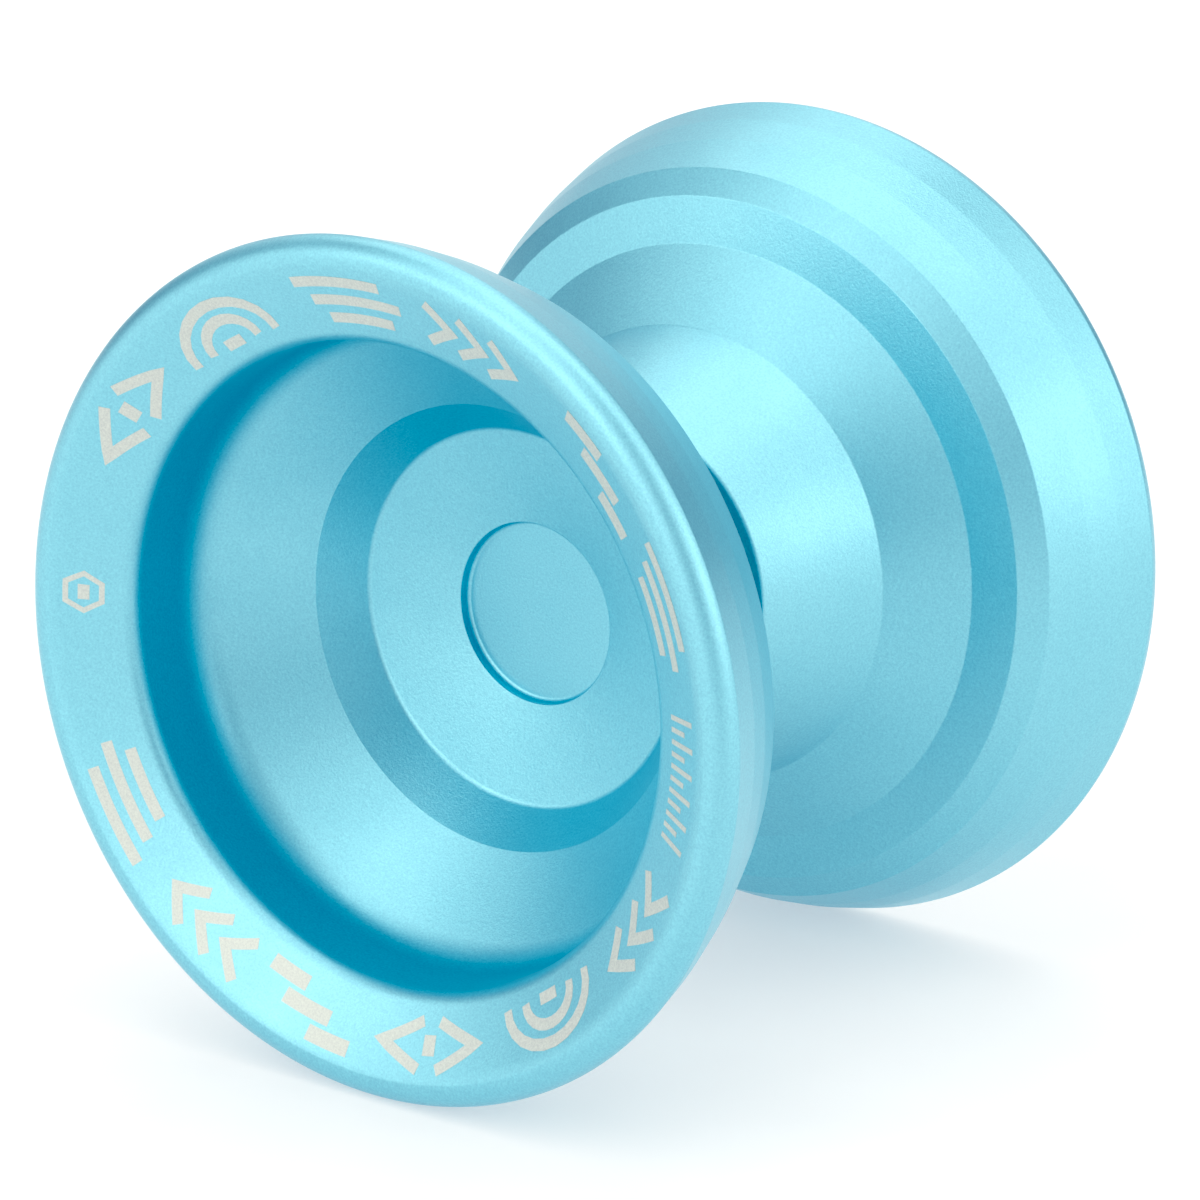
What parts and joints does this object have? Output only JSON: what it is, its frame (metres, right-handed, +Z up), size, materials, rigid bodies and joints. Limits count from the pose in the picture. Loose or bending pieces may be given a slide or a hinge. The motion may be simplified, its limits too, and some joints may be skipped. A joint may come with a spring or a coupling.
{
  "type": "yo-yo",
  "caption": "Wide-gap metal yo-yo: two flared, deeply cupped halves screwed onto a short axle, with a free-spinning ball bearing in the string gap.",
  "frame": {"origin": "centre of the bearing, where the axis crosses the mid-plane between the halves", "axes": "+Y along the axis towards the right half, +Z up; the yo-yo stands on both rims"},
  "size_m": [0.056, 0.0486, 0.0558],
  "materials": {
    "anodised_aluminium": "fine bead-blasted, anodised light blue, laser-marked flange",
    "axle_steel": "zinc-plated steel, rolled thread",
    "bearing_steel": "ground stainless steel",
    "ball_steel": "polished stainless steel",
    "cage_steel": "pressed stainless steel",
    "shield_steel": "satin stainless steel",
    "silicone": "matt white silicone"
  },
  "bodies": {
    "left_side": {"left_half": "anodised_aluminium", "axle_screw": "axle_steel", "bearing_inner_race": "bearing_steel", "response_pad_left": "silicone"},
    "right_carriage": {"response_pad_right": "silicone"},
    "right_side": {"right_half": "anodised_aluminium"},
    "outer_ring": {"bearing_outer_race": "bearing_steel", "bearing_shield_left": "shield_steel", "bearing_shield_right": "shield_steel", "snap_ring_left": "shield_steel", "snap_ring_right": "shield_steel"},
    "ball_cage": {"bearing_cage": "cage_steel"},
    "ball_01": {"bearing_ball_01": "ball_steel"},
    "ball_02": {"bearing_ball_02": "ball_steel"},
    "ball_03": {"bearing_ball_03": "ball_steel"},
    "ball_04": {"bearing_ball_04": "ball_steel"},
    "ball_05": {"bearing_ball_05": "ball_steel"},
    "ball_06": {"bearing_ball_06": "ball_steel"},
    "ball_07": {"bearing_ball_07": "ball_steel"},
    "ball_08": {"bearing_ball_08": "ball_steel"},
    "ball_09": {"bearing_ball_09": "ball_steel"},
    "ball_10": {"bearing_ball_10": "ball_steel"}
  },
  "joints": [
    {"name": "bearing_spin", "type": "hinge", "parent": "left_side", "child": "outer_ring", "pos_m": [0, 0, 0], "axis": [0, 1, 0], "continuous": true},
    {"name": "cage_spin", "type": "hinge", "parent": "left_side", "child": "ball_cage", "pos_m": [0, 0, 0], "axis": [0, 1, 0], "continuous": true},
    {"name": "right_half_unscrew", "type": "hinge", "parent": "right_carriage", "child": "right_side", "pos_m": [0, 0, 0], "axis": [0, 1, 0], "range_deg": [0, 2304]},
    {"name": "right_half_advance", "type": "slide", "parent": "left_side", "child": "right_carriage", "axis": [0, 1, 0], "range_m": [0, 0.0045]},
    {"name": "ball_01_roll", "type": "hinge", "parent": "ball_cage", "child": "ball_01", "pos_m": [0, 0, 0.00476], "axis": [0, 1, 0], "continuous": true},
    {"name": "ball_02_roll", "type": "hinge", "parent": "ball_cage", "child": "ball_02", "pos_m": [0.0028, 0, 0.00385], "axis": [0, 1, 0], "continuous": true},
    {"name": "ball_03_roll", "type": "hinge", "parent": "ball_cage", "child": "ball_03", "pos_m": [0.00453, 0, 0.00147], "axis": [0, 1, 0], "continuous": true},
    {"name": "ball_04_roll", "type": "hinge", "parent": "ball_cage", "child": "ball_04", "pos_m": [0.00453, 0, -0.00147], "axis": [0, 1, 0], "continuous": true},
    {"name": "ball_05_roll", "type": "hinge", "parent": "ball_cage", "child": "ball_05", "pos_m": [0.0028, 0, -0.00385], "axis": [0, 1, 0], "continuous": true},
    {"name": "ball_06_roll", "type": "hinge", "parent": "ball_cage", "child": "ball_06", "pos_m": [0, 0, -0.00476], "axis": [0, 1, 0], "continuous": true},
    {"name": "ball_07_roll", "type": "hinge", "parent": "ball_cage", "child": "ball_07", "pos_m": [-0.0028, 0, -0.00385], "axis": [0, 1, 0], "continuous": true},
    {"name": "ball_08_roll", "type": "hinge", "parent": "ball_cage", "child": "ball_08", "pos_m": [-0.00453, 0, -0.00147], "axis": [0, 1, 0], "continuous": true},
    {"name": "ball_09_roll", "type": "hinge", "parent": "ball_cage", "child": "ball_09", "pos_m": [-0.00453, 0, 0.00147], "axis": [0, 1, 0], "continuous": true},
    {"name": "ball_10_roll", "type": "hinge", "parent": "ball_cage", "child": "ball_10", "pos_m": [-0.0028, 0, 0.00385], "axis": [0, 1, 0], "continuous": true}
  ],
  "couplings": [
    {"joint": "cage_spin", "follows": "bearing_spin", "ratio": 0.58333},
    {"joint": "right_half_advance", "follows": "right_half_unscrew", "m_per_rad": 0.00011141},
    {"joint": "ball_01_roll", "follows": "bearing_spin", "ratio": 2.9167},
    {"joint": "ball_02_roll", "follows": "bearing_spin", "ratio": 2.9167},
    {"joint": "ball_03_roll", "follows": "bearing_spin", "ratio": 2.9167},
    {"joint": "ball_04_roll", "follows": "bearing_spin", "ratio": 2.9167},
    {"joint": "ball_05_roll", "follows": "bearing_spin", "ratio": 2.9167},
    {"joint": "ball_06_roll", "follows": "bearing_spin", "ratio": 2.9167},
    {"joint": "ball_07_roll", "follows": "bearing_spin", "ratio": 2.9167},
    {"joint": "ball_08_roll", "follows": "bearing_spin", "ratio": 2.9167},
    {"joint": "ball_09_roll", "follows": "bearing_spin", "ratio": 2.9167},
    {"joint": "ball_10_roll", "follows": "bearing_spin", "ratio": 2.9167}
  ]
}
